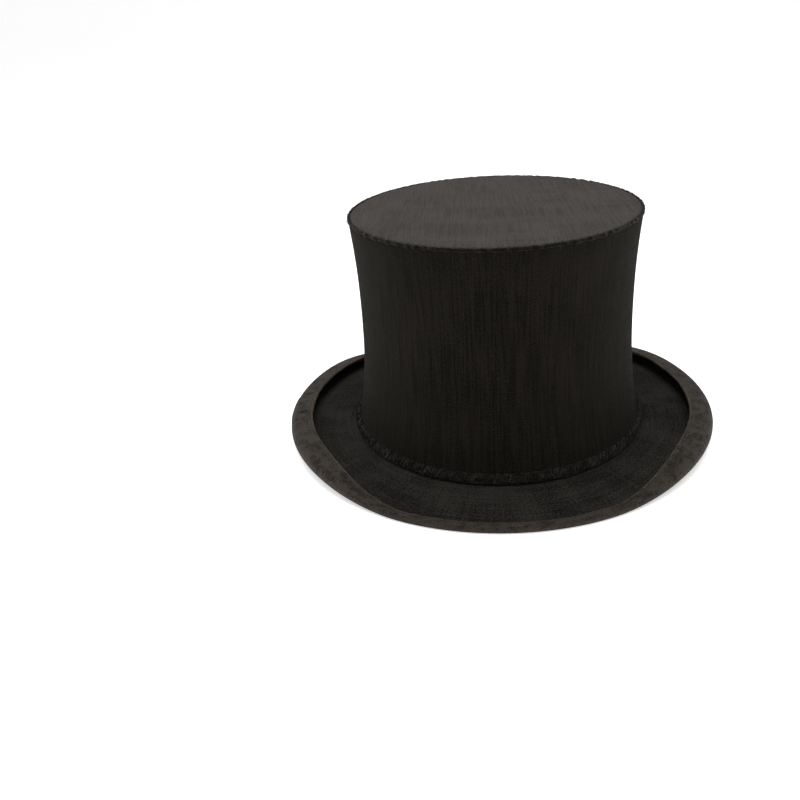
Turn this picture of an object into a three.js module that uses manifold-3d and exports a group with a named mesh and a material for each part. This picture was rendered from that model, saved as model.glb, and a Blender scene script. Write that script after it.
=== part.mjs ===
// A collapsible top hat (opera hat), in millimetres, +Z up.
// The origin is on the surface that the hat stands on, under the middle of its brim. The front faces -Y, the
// long axis of the oval lies along Y, and the rolled sides of the brim are at -X and +X.
// Two oval steel hoops, one at the brim and one under the tip, are joined by four jointed arms that fold
// inwards. Cloth covers the frame outside, and a satin lining and a leather sweatband cover it inside.
import * as THREE from "three";
import { mergeVertices } from "three/addons/utils/BufferGeometryUtils.js";
import Module from "manifold-3d";

const wasm = await Module();
wasm.setup();

// ---- Driving dimensions ----------------------------------------------------------------------------------
const GAP = 0.3; // left between pieces that touch
const CLOTH = 0.5; // thickness of the outer cloth

// The reference oval is the outside of the crown where it meets the brim. Every ring is drawn at an offset
// from it, measured along its normal, outwards positive.
const OVAL = { halfWidth: 92, halfLength: 109, segments: 40 };

// Outside of the crown: height, and offset from the reference oval. The cloth is drawn in to a waist.
const CROWN_PROFILE = [
  [6.9, -0.4],
  [16, -3.4],
  [34, -5.7],
  [56, -7.3],
  [80, -7.4],
  [104, -6.7],
  [122, -5.3],
  [138.6, -3.4],
];

const BRIM = {
  reachAtSides: 43.6, // outermost offset of the bound edge
  reachAtEnds: 42,
  inner: -6.6, // offset of the board's inner edge
  junction: { offset: 2, z: 5.2 }, // where the level collar starts to slope down
  board: 1,
  skin: 0.3, // cloth and ribbon on the brim
  rollAtSides: 4.2, // radius of the rolled edge, to the middle of the board
  rollAtEnds: 1,
  sideLift: 4, // how far the sides stand above the front and back
  flangeAtSides: 8, // width of the part that is rolled back over
  flangeAtEnds: 3,
  flangeRise: 1.2, // how far its inner edge stands above the roll at the sides
  ribbonUnder: 9, // how far the ribbon reaches in on the underside
};

const HOOP = { outer: -5.4, inner: -6.3, low: 6.2, high: 14.2 };
const HINGE = { inset: 10.6, baseZ: 17, armLength: 55, barrel: 1.5, hole: 0.95, pin: 0.7 };
const KNEE_Z = HINGE.baseZ + HINGE.armLength;
const ARM = { width: 8, tongue: 3.4, fork: 2, innerFace: 1.5, outerFace: 0.3, relief: 2 };
const ARM_ANGLES = [225, 315, 45, 135]; // front left, front right, back right, back left
const PLATE = { inset: 7, thick: 1, width: 12, low: 6.6, high: 14 };
const RIVET = { head: 1.7, headThick: 0.5, shank: 0.9, hole: 1.2, z: 9.6, start: 4.7, end: 8.7 };
const SPRING = { wire: 0.28, mean: 1.1, turns: 3, start: 4.6, end: 6.9, leg: 7, steps: 6 };

const TIP = { boardThick: 1.8, boardOffset: -5.5, coverOffset: -5.4 };
const TIP_HOOP = { low: 2 * KNEE_Z - HOOP.high, high: 2 * KNEE_Z - HOOP.low };
const PIPING = { radius: 1, offset: -4.1 };
const HAT_BAND = { low: 6.9, high: 12.6, thick: 1.3 };

const SWEATBAND = { foot: -7.6, face: -12.9, thick: 0.9, low: 3.4, bend: 13, high: 42 };
const LINING = { offset: -12.9, thick: 0.4, low: 42.3, tipZ: 112 };

// ---- Ovals and rings -------------------------------------------------------------------------------------
function ovalPoint(t, offset) {
  const { halfWidth: a, halfLength: b } = OVAL;
  const normal = new THREE.Vector2(Math.cos(t) / a, Math.sin(t) / b).normalize();
  return new THREE.Vector2(a * Math.cos(t), b * Math.sin(t)).addScaledVector(normal, offset);
}

// A closed ring round the oval. section(t) gives its outline at angle t as [offset, z] points, anticlockwise
// with the offset to the right and z up. Each cell of the ring is cut from its inner corner at one section to
// its outer corner at the next, so that layers of one shape nest without touching.
function ring(section) {
  const n = OVAL.segments;
  const sections = Array.from({ length: n }, (_, i) => section((2 * Math.PI * i) / n));
  const count = sections[0].length;
  const positions = [];
  const index = [];
  sections.forEach((outline, i) => {
    for (const [offset, z] of outline) {
      const p = ovalPoint((2 * Math.PI * i) / n, offset);
      positions.push(p.x, p.y, z);
    }
  });
  const at = (i, j) => (i % n) * count + (j % count);
  sections.forEach((outline, i) => {
    for (let j = 0; j < count; j++) {
      const next = outline[(j + 1) % count];
      const outwards = (next[0] - outline[j][0] || next[1] - outline[j][1]) > 0;
      const [from, to] = outwards ? [at(i, j), at(i + 1, j + 1)] : [at(i, j + 1), at(i + 1, j)];
      index.push(at(i, j), at(i + 1, j), outwards ? to : from);
      index.push(outwards ? from : to, at(i + 1, j + 1), at(i, j + 1));
    }
  });
  const geometry = new THREE.BufferGeometry();
  geometry.setAttribute("position", new THREE.Float32BufferAttribute(positions, 3));
  geometry.setIndex(index);
  return geometry;
}

// A rectangular ring between two offsets and two heights.
function band(inner, outer, low, high) {
  return ring(() => [
    [outer, low],
    [outer, high],
    [inner, high],
    [inner, low],
  ]);
}

// A flat oval plate.
function plate(offset, low, thick) {
  const points = [];
  for (let i = 0; i < OVAL.segments; i++) points.push(ovalPoint((2 * Math.PI * i) / OVAL.segments, offset));
  const geometry = new THREE.ExtrudeGeometry(new THREE.Shape(points), { depth: thick, bevelEnabled: false });
  return geometry.translate(0, 0, low);
}

// The outline of a sheet of the given thickness, drawn on the inner side of a profile of [z, offset] points.
function sheetSection(profile, thick) {
  const outside = profile.map(([z, offset]) => [offset, z]);
  const inside = profile.map(([z, offset]) => [offset - thick, z]).reverse();
  return [...outside, ...inside];
}

// ---- Brim ------------------------------------------------------------------------------------------------
// 1 at the sides of the brim, where its edge is rolled up, and 0 at the front and back, where it is flat.
function sideShare(t) {
  return THREE.MathUtils.smoothstep(Math.abs(Math.cos(t)), 0.4, 0.92);
}

// The middle of the brim board at angle t: the level collar, the slope, the roll and the flange above it.
// Each point holds its place and the direction of the board's upper side there.
function brimPath(t) {
  const share = sideShare(t);
  const reach = THREE.MathUtils.lerp(BRIM.reachAtEnds, BRIM.reachAtSides, share);
  const roll = THREE.MathUtils.lerp(BRIM.rollAtEnds, BRIM.rollAtSides, share);
  const flange = THREE.MathUtils.lerp(BRIM.flangeAtEnds, BRIM.flangeAtSides, share);
  const cover = BRIM.board / 2 + GAP + BRIM.skin;
  const end = reach - roll - cover;
  const low = cover + BRIM.sideLift * share;
  const path = [
    { offset: BRIM.inner, z: BRIM.junction.z, up: [0, 1] },
    { offset: BRIM.junction.offset, z: BRIM.junction.z, up: [0, 1] },
    { offset: end - BRIM.ribbonUnder, z: low, up: [0, 1] },
  ];
  const steps = 4;
  for (let i = 0; i <= steps; i++) {
    const angle = (Math.PI * i) / steps;
    const out = Math.sin(angle);
    const rise = -Math.cos(angle);
    path.push({ offset: end + roll * out, z: low + roll + roll * rise, up: [-out, -rise] });
  }
  path.push({ offset: end - flange, z: low + 2 * roll + BRIM.flangeRise * share, up: [0, -1] });
  return path;
}

// The outline of a layer of the brim between two distances above the middle of the board, from the path's
// point numbered from to the one numbered to.
function brimLayer(t, from, to, below, above) {
  const path = brimPath(t).slice(from, to + 1);
  const side = (distance) => path.map((p) => [p.offset + distance * p.up[0], p.z + distance * p.up[1]]);
  return [...side(below), ...side(above).reverse()];
}

function brimBoard() {
  return ring((t) => brimLayer(t, 0, 8, -BRIM.board / 2, BRIM.board / 2));
}

function brimTopCover() {
  const low = BRIM.board / 2 + GAP;
  return ring((t) => brimLayer(t, 1, 3, low, low + BRIM.skin));
}

function brimUnderCover() {
  const high = -BRIM.board / 2 - GAP;
  const section = (t) => brimLayer(t, 0, 2, high - BRIM.skin, high);
  const outerEdge = [2, 3];
  const trimmed = ([offset, z], i) => (outerEdge.includes(i) ? [offset - GAP, z + 0.1] : [offset, z]);
  return ring((t) => section(t).map(trimmed));
}

// The ribbon that binds the edge, from the underside round the roll to the flange.
function brimBinding() {
  const inside = -BRIM.board / 2 - GAP;
  return ring((t) => brimLayer(t, 2, 8, inside - BRIM.skin, inside));
}

// ---- Solids ----------------------------------------------------------------------------------------------
function solid(geometry) {
  const bare = geometry.index ? geometry.toNonIndexed() : geometry.clone();
  const positions = new THREE.BufferGeometry().setAttribute("position", bare.getAttribute("position"));
  const merged = mergeVertices(positions, 1e-4);
  return new wasm.Manifold(
    new wasm.Mesh({
      numProp: 3,
      vertProperties: new Float32Array(merged.attributes.position.array),
      triVerts: new Uint32Array(merged.index.array),
    }),
  );
}

function geometryOf(body) {
  const mesh = body.getMesh();
  const geometry = new THREE.BufferGeometry();
  geometry.setAttribute("position", new THREE.BufferAttribute(mesh.vertProperties, mesh.numProp));
  geometry.setIndex(new THREE.BufferAttribute(mesh.triVerts, 1));
  return geometry;
}

function join(...geometries) {
  return geometries.map(solid).reduce((a, b) => a.add(b));
}

function block(x0, x1, y0, y1, z0, z1) {
  const geometry = new THREE.BoxGeometry(x1 - x0, y1 - y0, z1 - z0);
  return geometry.translate((x0 + x1) / 2, (y0 + y1) / 2, (z0 + z1) / 2);
}

// A cylinder along Y, between two values of y.
function barrel(x, z, radius, y0, y1, sides = 12) {
  const geometry = new THREE.CylinderGeometry(radius, radius, y1 - y0, sides);
  return geometry.translate(x, (y0 + y1) / 2, z);
}

// ---- Folding frame, in a local frame at each arm: x inwards, y along the hinge pins, z up ----------------
// Mirrored about the height of the knees, a piece at the brim becomes the same piece at the tip.
function mirrored(body) {
  return body.mirror([0, 0, 1]).translate([0, 0, 2 * KNEE_Z]);
}

function hinge(z, halfWidth, inner = 0) {
  const { inset, barrel: radius } = HINGE;
  if (!inner) return solid(barrel(inset, z, radius, -halfWidth, halfWidth));
  return join(barrel(inset, z, radius, inner, halfWidth), barrel(inset, z, radius, -halfWidth, -inner));
}

function drilled(body, z) {
  return body.subtract(solid(barrel(HINGE.inset, z, HINGE.hole, -ARM.width, ARM.width)));
}

// The bracket riveted to the lower hoop, with two ears for the hinge pin.
function baseBracket() {
  const { inset, thick, width, low, high } = PLATE;
  const ear = (y0, y1) => block(inset, HINGE.inset, y0, y1, high - 1.5, HINGE.baseZ + HINGE.barrel);
  const outer = ARM.width / 2;
  const body = join(
    block(inset, inset + thick, -width / 2, width / 2, low, high),
    ear(ARM.fork, outer),
    ear(-outer, -ARM.fork),
  ).add(hinge(HINGE.baseZ, outer, ARM.fork));
  const rivetHole = new THREE.CylinderGeometry(RIVET.hole, RIVET.hole, 4, 8).rotateZ(Math.PI / 2);
  rivetHole.translate(inset + thick / 2, 0, RIVET.z);
  return drilled(body, HINGE.baseZ).subtract(solid(rivetHole));
}

// A flat arm from one hinge to the next. Each end has a tongue with one barrel, and the upper arm has a fork
// of two barrels at the knee.
function arm(low, high, forkAtLow) {
  const { inset } = HINGE;
  const half = ARM.width / 2;
  const tongue = ARM.tongue / 2;
  const strip = (y0, y1, z0, z1) => block(inset + ARM.outerFace, inset + ARM.innerFace, y0, y1, z0, z1);
  const footTop = low + ARM.relief + 1;
  const feet = forkAtLow
    ? [strip(ARM.fork, half, low, footTop), strip(-half, -ARM.fork, low, footTop)]
    : [strip(-tongue, tongue, low, footTop)];
  const body = join(
    strip(-half, half, low + ARM.relief, high - ARM.relief),
    strip(-tongue, tongue, high - ARM.relief - 1, high),
    ...feet,
  );
  const foot = forkAtLow ? hinge(low, half, ARM.fork) : hinge(low, tongue);
  return drilled(drilled(body.add(foot).add(hinge(high, tongue)), low), high);
}

// A hinge pin with a head at each end.
function pin(z, y0, y1) {
  const { inset, pin: radius } = HINGE;
  const headThick = 0.5;
  return join(
    barrel(inset, z, radius, y0, y1),
    barrel(inset, z, radius + 0.5, y0, y0 + headThick),
    barrel(inset, z, radius + 0.5, y1 - headThick, y1),
  );
}

// A rivet along X with a head at each end.
function rivet() {
  const { head, headThick, shank, start, end, z } = RIVET;
  const profile = [
    [0, start],
    [head, start],
    [head, start + headThick],
    [shank, start + headThick],
    [shank, end - headThick],
    [head, end - headThick],
    [head, end],
    [0, end],
  ].map(([r, x]) => new THREE.Vector2(r, x));
  return solid(new THREE.LatheGeometry(profile, 8).rotateZ(-Math.PI / 2)).translate([0, 0, z]);
}

// The torsion spring on the knee pin, with a leg along each arm.
function kneeSpring() {
  const { wire, mean, turns, start, end, leg, steps } = SPRING;
  const points = [new THREE.Vector3(HINGE.inset + mean, start, KNEE_Z - leg)];
  const count = Math.round(turns * steps);
  for (let i = 0; i <= count; i++) {
    const angle = (2 * Math.PI * i) / steps;
    const y = THREE.MathUtils.lerp(start, end, i / count);
    points.push(new THREE.Vector3(HINGE.inset + mean * Math.cos(angle), y, KNEE_Z + mean * Math.sin(angle)));
  }
  points.push(new THREE.Vector3(HINGE.inset + mean, end, KNEE_Z + leg));
  const section = new THREE.Shape([
    new THREE.Vector2(wire, 0),
    new THREE.Vector2(0, wire),
    new THREE.Vector2(-wire, 0),
    new THREE.Vector2(0, -wire),
  ]);
  const path = new THREE.CatmullRomCurve3(points, false, "centripetal");
  const options = { steps: count + 6, extrudePath: path, bevelEnabled: false };
  return solid(new THREE.ExtrudeGeometry(section, options));
}

// A hoop with a hole for the rivet at each arm.
function hoop(low, high, rivetZ) {
  let body = solid(band(HOOP.inner, HOOP.outer, low, high));
  for (const degrees of ARM_ANGLES) {
    const { position, turn } = armPlace(degrees);
    const hole = new THREE.CylinderGeometry(RIVET.hole, RIVET.hole, 4, 8).rotateZ(Math.PI / 2);
    hole.translate(-HOOP.outer + 0.5, 0, rivetZ).rotateZ(turn).translate(position.x, position.y, 0);
    body = body.subtract(solid(hole));
  }
  return body;
}

function armPlace(degrees) {
  const t = THREE.MathUtils.degToRad(degrees);
  const position = ovalPoint(t, 0);
  const inwards = ovalPoint(t, -1).sub(position);
  return { position, turn: Math.atan2(inwards.y, inwards.x) };
}

// ---- Soft trim -------------------------------------------------------------------------------------------
function crownOffset(z) {
  const k = CROWN_PROFILE.findIndex(([height]) => height >= z);
  const [z0, o0] = CROWN_PROFILE[k - 1];
  const [z1, o1] = CROWN_PROFILE[k];
  return THREE.MathUtils.mapLinear(z, z0, z1, o0, o1);
}

function hatBand() {
  const { low, high, thick } = HAT_BAND;
  const clear = GAP + 0.3;
  const foot = CROWN_PROFILE[0][1] + clear;
  const head = crownOffset(high) + clear;
  return ring(() => [
    [foot, low],
    [foot + thick, low],
    [(foot + head) / 2 + thick + 0.3, (low + high) / 2],
    [head + thick, high],
    [head, high],
  ]);
}

function piping(z) {
  const { radius, offset } = PIPING;
  const sides = 6;
  return ring(() => Array.from({ length: sides }, (_, k) => {
    const angle = (2 * Math.PI * k) / sides;
    return [offset + radius * Math.cos(angle), z + radius * Math.sin(angle)];
  }));
}

function sweatband() {
  const { foot, face, thick, low, bend, high } = SWEATBAND;
  return ring(() => sheetSection([[low, foot], [bend, face], [high, face]], thick));
}


// ---- Materials -------------------------------------------------------------------------------------------
function material(color, roughness, metalness = 0) {
  return new THREE.MeshStandardMaterial({ color, roughness, metalness });
}

const BLACK_CLOTH = material(0x1b1a18, 0.85);
const TIP_CLOTH = material(0x3a3836, 0.8);
const BLACK_RIBBON = material(0x232220, 0.75);
const BLACK_PLUSH = material(0x100f0e, 0.95);
const BOARD = material(0x8a6f4d, 0.9);
const STEEL = material(0x8f9093, 0.4, 1);
const LEATHER = material(0x6b3f22, 0.55);
const SATIN = material(0xe4dccb, 0.35);

// ---- Assembly --------------------------------------------------------------------------------------------
const hat = new THREE.Group();

function add(name, shape, finish, parent = hat) {
  const mesh = new THREE.Mesh(shape.isBufferGeometry ? shape : geometryOf(shape), finish);
  mesh.name = name;
  parent.add(mesh);
}

function addBrim() {
  add("brim_board", brimBoard(), BOARD);
  add("brim_top_cover", brimTopCover(), BLACK_CLOTH);
  add("brim_under_cover", brimUnderCover(), BLACK_CLOTH);
  add("brim_binding", brimBinding(), BLACK_RIBBON);
}

function addCrown() {
  const boardLow = TIP_HOOP.high + GAP;
  const coverLow = boardLow + TIP.boardThick + GAP;
  add("crown_cover", ring(() => sheetSection(CROWN_PROFILE, CLOTH)), BLACK_CLOTH);
  add("hat_band", hatBand(), BLACK_PLUSH);
  add("tip_board", plate(TIP.boardOffset, boardLow, TIP.boardThick), BOARD);
  add("tip_cover", plate(TIP.coverOffset, coverLow, CLOTH), TIP_CLOTH);
  add("tip_piping", piping(coverLow + CLOTH - PIPING.radius), BLACK_PLUSH);
}

function addInside() {
  add("sweatband", sweatband(), LEATHER);
  add("lining_side", band(LINING.offset - LINING.thick, LINING.offset, LINING.low, LINING.tipZ - GAP), SATIN);
  add("lining_tip", plate(LINING.offset, LINING.tipZ, LINING.thick), SATIN);
}

function addFrame() {
  add("base_hoop", hoop(HOOP.low, HOOP.high, RIVET.z), STEEL);
  add("tip_hoop", hoop(TIP_HOOP.low, TIP_HOOP.high, 2 * KNEE_Z - RIVET.z), STEEL);
  const tipZ = HINGE.baseZ + 2 * HINGE.armLength;
  const pinEnd = ARM.width / 2 + 0.8;
  ARM_ANGLES.forEach((degrees, i) => {
    const place = new THREE.Group();
    const { position, turn } = armPlace(degrees);
    place.position.set(position.x, position.y, 0);
    place.rotation.z = turn;
    hat.add(place);
    const number = i + 1;
    add(`base_bracket_${number}`, baseBracket(), STEEL, place);
    add(`base_rivet_${number}`, rivet(), STEEL, place);
    add(`base_pin_${number}`, pin(HINGE.baseZ, -pinEnd, pinEnd), STEEL, place);
    add(`lower_arm_${number}`, arm(HINGE.baseZ, KNEE_Z, false), STEEL, place);
    add(`knee_pin_${number}`, pin(KNEE_Z, -pinEnd, SPRING.end + 1), STEEL, place);
    add(`knee_spring_${number}`, kneeSpring(), STEEL, place);
    add(`upper_arm_${number}`, arm(KNEE_Z, tipZ, true), STEEL, place);
    add(`tip_pin_${number}`, pin(tipZ, -pinEnd, pinEnd), STEEL, place);
    add(`tip_bracket_${number}`, mirrored(baseBracket()), STEEL, place);
    add(`tip_rivet_${number}`, mirrored(rivet()), STEEL, place);
  });
}

addBrim();
addCrown();
addInside();
addFrame();

export default hat;
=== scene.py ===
import math
import random

import bpy
import numpy as np
from mathutils import Matrix, Vector


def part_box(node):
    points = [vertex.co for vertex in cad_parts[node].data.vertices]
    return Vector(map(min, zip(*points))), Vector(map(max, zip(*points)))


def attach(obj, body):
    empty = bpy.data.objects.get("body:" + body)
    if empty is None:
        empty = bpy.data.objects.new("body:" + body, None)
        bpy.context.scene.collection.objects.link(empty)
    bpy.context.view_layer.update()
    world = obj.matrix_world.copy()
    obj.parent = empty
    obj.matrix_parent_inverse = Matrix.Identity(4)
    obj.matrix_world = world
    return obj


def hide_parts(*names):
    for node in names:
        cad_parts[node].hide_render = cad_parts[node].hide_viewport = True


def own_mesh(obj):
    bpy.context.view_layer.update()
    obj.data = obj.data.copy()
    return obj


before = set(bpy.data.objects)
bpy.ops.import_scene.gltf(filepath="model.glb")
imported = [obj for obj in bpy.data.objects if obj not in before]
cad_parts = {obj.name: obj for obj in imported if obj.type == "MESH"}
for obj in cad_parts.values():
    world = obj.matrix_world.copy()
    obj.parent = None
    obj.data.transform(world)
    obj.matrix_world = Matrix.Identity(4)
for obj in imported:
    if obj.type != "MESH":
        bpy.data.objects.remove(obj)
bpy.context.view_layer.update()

MM = 0.001
TAU = 2 * math.pi


def node_box(name):
    low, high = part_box(name)
    return np.array(low) / MM, np.array(high) / MM


# ---- Sizes, from the frame -----------------------------------------------------------------------
crown_low, crown_high = node_box("crown_cover")
_, tip_high = node_box("tip_cover")
_, brim_high = node_box("brim_binding")
sweat_low, sweat_high = node_box("sweatband")
side_low, side_high = node_box("lining_side")
ceiling_low, ceiling_high = node_box("lining_tip")
braid_low, braid_high = node_box("hat_band")
piping_low, piping_high = node_box("tip_piping")

CROWN_FOOT = -0.4  # offset of the crown cloth where it meets the brim, its widest place
HALF_W = crown_high[0] - CROWN_FOOT
HALF_L = crown_high[1] - CROWN_FOOT

# Height and offset of the crown cloth, from the brim up to the tip.
CROWN_PROFILE = [
    (6.9, -0.4),
    (16, -3.4),
    (34, -5.7),
    (56, -7.3),
    (80, -7.4),
    (104, -6.7),
    (122, -5.3),
    (138.6, -3.4),
]
# The brim's section: its reach past the reference oval, the collar it stands on, the board and its covers,
# and the roll, lift and flange of its edge at the sides and at the ends.
BRIM = {
    "reach_sides": brim_high[0] - HALF_W,
    "reach_ends": brim_high[1] - HALF_L,
    "inner": -6.6,
    "collar": 2.0,
    "collar_z": 5.2,
    "board": 1.0,
    "gap": 0.3,
    "skin": 0.3,
    "roll_sides": 4.2,
    "roll_ends": 1.0,
    "lift": 4.0,
    "flange_sides": 8.0,
    "flange_ends": 3.0,
    "flange_rise": 1.2,
    "under": 9.0,
}
COVER = BRIM["board"] / 2 + BRIM["gap"] + BRIM["skin"]


# ---- Ovals and rings -----------------------------------------------------------------------------
def angles(n):
    return np.arange(n) * TAU / n


def place(t, offset, z):
    """Points in metres at angle t, offset and height z."""
    nx, ny = np.cos(t) / HALF_W, np.sin(t) / HALF_L
    k = np.hypot(nx, ny)
    x = HALF_W * np.cos(t) + offset * nx / k
    y = HALF_L * np.sin(t) + offset * ny / k
    return np.stack(np.broadcast_arrays(x, y, z), -1) * MM


def distance_along(points):
    """Distance from the first point to each point of a line."""
    return np.concatenate([[0], np.cumsum(np.linalg.norm(np.diff(points, axis=0), axis=1))])


def arc_lengths(n, offset=0.0):
    """Distance in metres round the oval to each of n + 1 angles."""
    t = np.arange(n + 1) * TAU / n
    return distance_along(place(t, offset, 0.0))


PERIMETER = arc_lengths(720)[-1]


def make_mesh(name, points, faces, uvs=None, smooth_angle=40):
    mesh = bpy.data.meshes.new(name)
    mesh.from_pydata([tuple(p) for p in points], [], faces)
    mesh.polygons.foreach_set("use_smooth", [True] * len(mesh.polygons))
    if uvs is not None:
        layer = mesh.uv_layers.new(name="cloth")
        layer.data.foreach_set("uv", np.asarray(uvs, np.float32).ravel())
    mesh.update()
    mesh.set_sharp_from_angle(angle=math.radians(smooth_angle))
    piece = bpy.data.objects.new(name, mesh)
    bpy.context.scene.collection.objects.link(piece)
    return piece


def finish_piece(piece, material, body, nodes=()):
    piece.data.materials.clear()
    piece.data.materials.append(material)
    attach(piece, body)
    if nodes:
        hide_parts(*nodes)


def ring_arrays(section, mean_offset=None, v_start=0.0):
    """Points, quads and uvs in metres of a closed ring. section is (n, m, 2): offset and z at each angle.

    Parts of one cloth share mean_offset, and each starts its v at v_start, so that the weave runs on.
    """
    n, m, _ = section.shape
    points = place(angles(n)[:, None], section[..., 0], section[..., 1]).reshape(-1, 3)
    i, j = (a.ravel() for a in np.meshgrid(np.arange(n), np.arange(m), indexing="ij"))
    i1, j1 = (i + 1) % n, (j + 1) % m
    faces = np.stack([i * m + j, i1 * m + j, i1 * m + j1, i * m + j1], -1)
    if mean_offset is None:
        mean_offset = float(section[..., 0].mean())
    u = arc_lengths(n, mean_offset)
    outline = np.concatenate([section[0], section[:1, 0]])
    v = (v_start + distance_along(outline)) * MM
    corners_u = np.stack([u[i], u[i + 1], u[i + 1], u[i]], -1)
    corners_v = np.stack([v[j], v[j], v[j + 1], v[j + 1]], -1)
    return points, faces.tolist(), np.stack([corners_u, corners_v], -1).reshape(-1, 2)


def ring(name, section, smooth_angle=40):
    return make_mesh(name, *ring_arrays(section), smooth_angle=smooth_angle)


def ups(path):
    """Unit normals of paths, on the left of the direction of travel."""
    d = np.gradient(path, axis=1)
    d /= np.linalg.norm(d, axis=2, keepdims=True) + 1e-12
    return np.stack([-d[..., 1], d[..., 0]], -1)


def layer(path, up, below, above):
    """A closed section between two distances above a path."""
    low = path + up * np.asarray(below)[..., None] if np.ndim(below) else path + up * below
    high = path + up * np.asarray(above)[..., None] if np.ndim(above) else path + up * above
    return np.concatenate([low, high[:, ::-1]], 1)


def smoothed(values, sigma, axis=0):
    """Gaussian blur along an axis, with both ends held."""
    r = max(1, int(3 * sigma))
    k = np.exp(-0.5 * (np.arange(-r, r + 1) / sigma) ** 2)
    k /= k.sum()
    moved = np.moveaxis(values, axis, 0)
    head = 2 * moved[:1] - moved[1 : r + 1][::-1]
    tail = 2 * moved[-1:] - moved[-r - 1 : -1][::-1]
    padded = np.concatenate([head, moved, tail])
    out = sum(k[i] * padded[i : i + len(moved)] for i in range(2 * r + 1))
    out[0], out[-1] = moved[0], moved[-1]
    return np.moveaxis(out, 0, axis)


def smoothstep(x, low, high):
    s = np.clip((x - low) / (high - low), 0, 1)
    return s * s * (3 - 2 * s)


def wave(t, terms, seed):
    """A smooth closed wobble round the oval: terms are (cycles from, cycles to, amplitude)."""
    rng = random.Random(seed)
    out = np.zeros_like(t)
    for low, high, amount in terms:
        for cycles in range(low, high + 1):
            out = out + amount * rng.uniform(0.3, 1) * np.sin(cycles * t + rng.uniform(0, TAU))
    return out


SEAM = math.pi / 2  # the back of the hat


def from_seam(t):
    """How far angle t is from the back seam, 0 or more."""
    return np.abs(np.angle(np.exp(1j * (t - SEAM))))


def store(piece, name, outer):
    """Keep a value at the points of a ring's first side; it is 0 on the other side."""
    values = np.concatenate([outer, np.zeros_like(outer)], 1)
    attribute = piece.data.attributes.new(name, "FLOAT", "POINT")
    attribute.data.foreach_set("value", values.ravel().astype(np.float32))


RIB_PITCH = 0.0011  # of the grosgrain ribbon, in metres
THREAD_PITCH = 0.0002  # along the ribbon, in metres
TUFT_PITCH = 2.7  # of the braid at the foot of the crown, in mm


# ---- Materials -----------------------------------------------------------------------------------
class Shader:
    """A small builder of one Principled material."""

    def __init__(
        self,
        name,
        roughness,
        specular,
        sheen=0.0,
        sheen_tint=(1, 1, 1),
        sheen_rough=0.5,
        metallic=0.0,
    ):
        self.material = bpy.data.materials.new(name)
        self.material.use_nodes = True
        self.tree = self.material.node_tree
        self.bsdf = self.tree.nodes["Principled BSDF"]
        self.bsdf.inputs["Roughness"].default_value = roughness
        self.bsdf.inputs["Specular IOR Level"].default_value = specular
        self.bsdf.inputs["Sheen Weight"].default_value = sheen
        self.bsdf.inputs["Sheen Roughness"].default_value = sheen_rough
        self.bsdf.inputs["Sheen Tint"].default_value = (*sheen_tint, 1)
        self.bsdf.inputs["Metallic"].default_value = metallic

    def add(self, kind, values=None, **settings):
        node = self.tree.nodes.new(kind)
        for key, value in settings.items():
            setattr(node, key, value)
        for key, value in (values or {}).items():
            self.put(node.inputs[key], value)
        return node

    def put(self, socket, value):
        if isinstance(value, bpy.types.NodeSocket):
            self.tree.links.new(value, socket)
        else:
            socket.default_value = value

    def math(self, operation, *values):
        return self.add("ShaderNodeMath", dict(enumerate(values)), operation=operation).outputs[0]

    def times(self, a, b):
        return self.math("MULTIPLY", a, b)

    def plus(self, a, b):
        return self.math("ADD", a, b)

    def wave(self, value, pitch):
        """The sine of value, one half turn for each pitch."""
        return self.math("SINE", self.times(value, math.pi / pitch))

    def stored(self, name):
        """A value kept at the mesh's points."""
        return self.add("ShaderNodeAttribute", attribute_name=name).outputs["Fac"]

    def uv(self):
        split = self.add("ShaderNodeSeparateXYZ", {0: self.add("ShaderNodeUVMap", uv_map="cloth").outputs[0]})
        return split.outputs[0], split.outputs[1]

    def vector(self, x, y, z=0.0):
        return self.add("ShaderNodeCombineXYZ", {0: x, 1: y, 2: z}).outputs[0]

    def position(self):
        return self.add("ShaderNodeTexCoord").outputs["Object"]

    def noise(self, vector, scale, detail=2.0, rough=0.5):
        values = {"Vector": vector, "Scale": scale, "Detail": detail, "Roughness": rough}
        return self.add("ShaderNodeTexNoise", values).outputs["Fac"]

    def spread(self, value, low, high, to_low=0.0, to_high=1.0):
        values = {0: value, 1: low, 2: high, 3: to_low, 4: to_high}
        return self.add("ShaderNodeMapRange", values, interpolation_type="SMOOTHSTEP").outputs[0]

    def mix(self, share, a, b):
        node = self.add("ShaderNodeMix", data_type="RGBA")
        self.put(node.inputs[0], share)
        self.put(node.inputs[6], a if isinstance(a, bpy.types.NodeSocket) else (*a, 1))
        self.put(node.inputs[7], b if isinstance(b, bpy.types.NodeSocket) else (*b, 1))
        return node.outputs[2]

    def colour(self, value):
        self.put(self.bsdf.inputs["Base Color"], value)

    def rough(self, value):
        self.put(self.bsdf.inputs["Roughness"], value)

    def bump(self, height, distance):
        node = self.add("ShaderNodeBump", {"Height": height, "Distance": distance, "Strength": 1.0})
        self.put(self.bsdf.inputs["Normal"], node.outputs[0])

    def weave(self, u, v, pitch_u, pitch_v):
        """Height of a plain weave with threads pitch_u and pitch_v apart, in metres, 0 to 1."""
        warp = self.math("ABSOLUTE", self.wave(u, pitch_u))
        weft = self.math("ABSOLUTE", self.wave(v, pitch_v))
        cross = self.times(self.wave(u, pitch_u), self.wave(v, pitch_v))
        over = self.spread(cross, -0.25, 0.25)
        node = self.add("ShaderNodeMix", {0: over, 2: weft, 3: warp}, data_type="FLOAT")
        return node.outputs[0]


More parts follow.
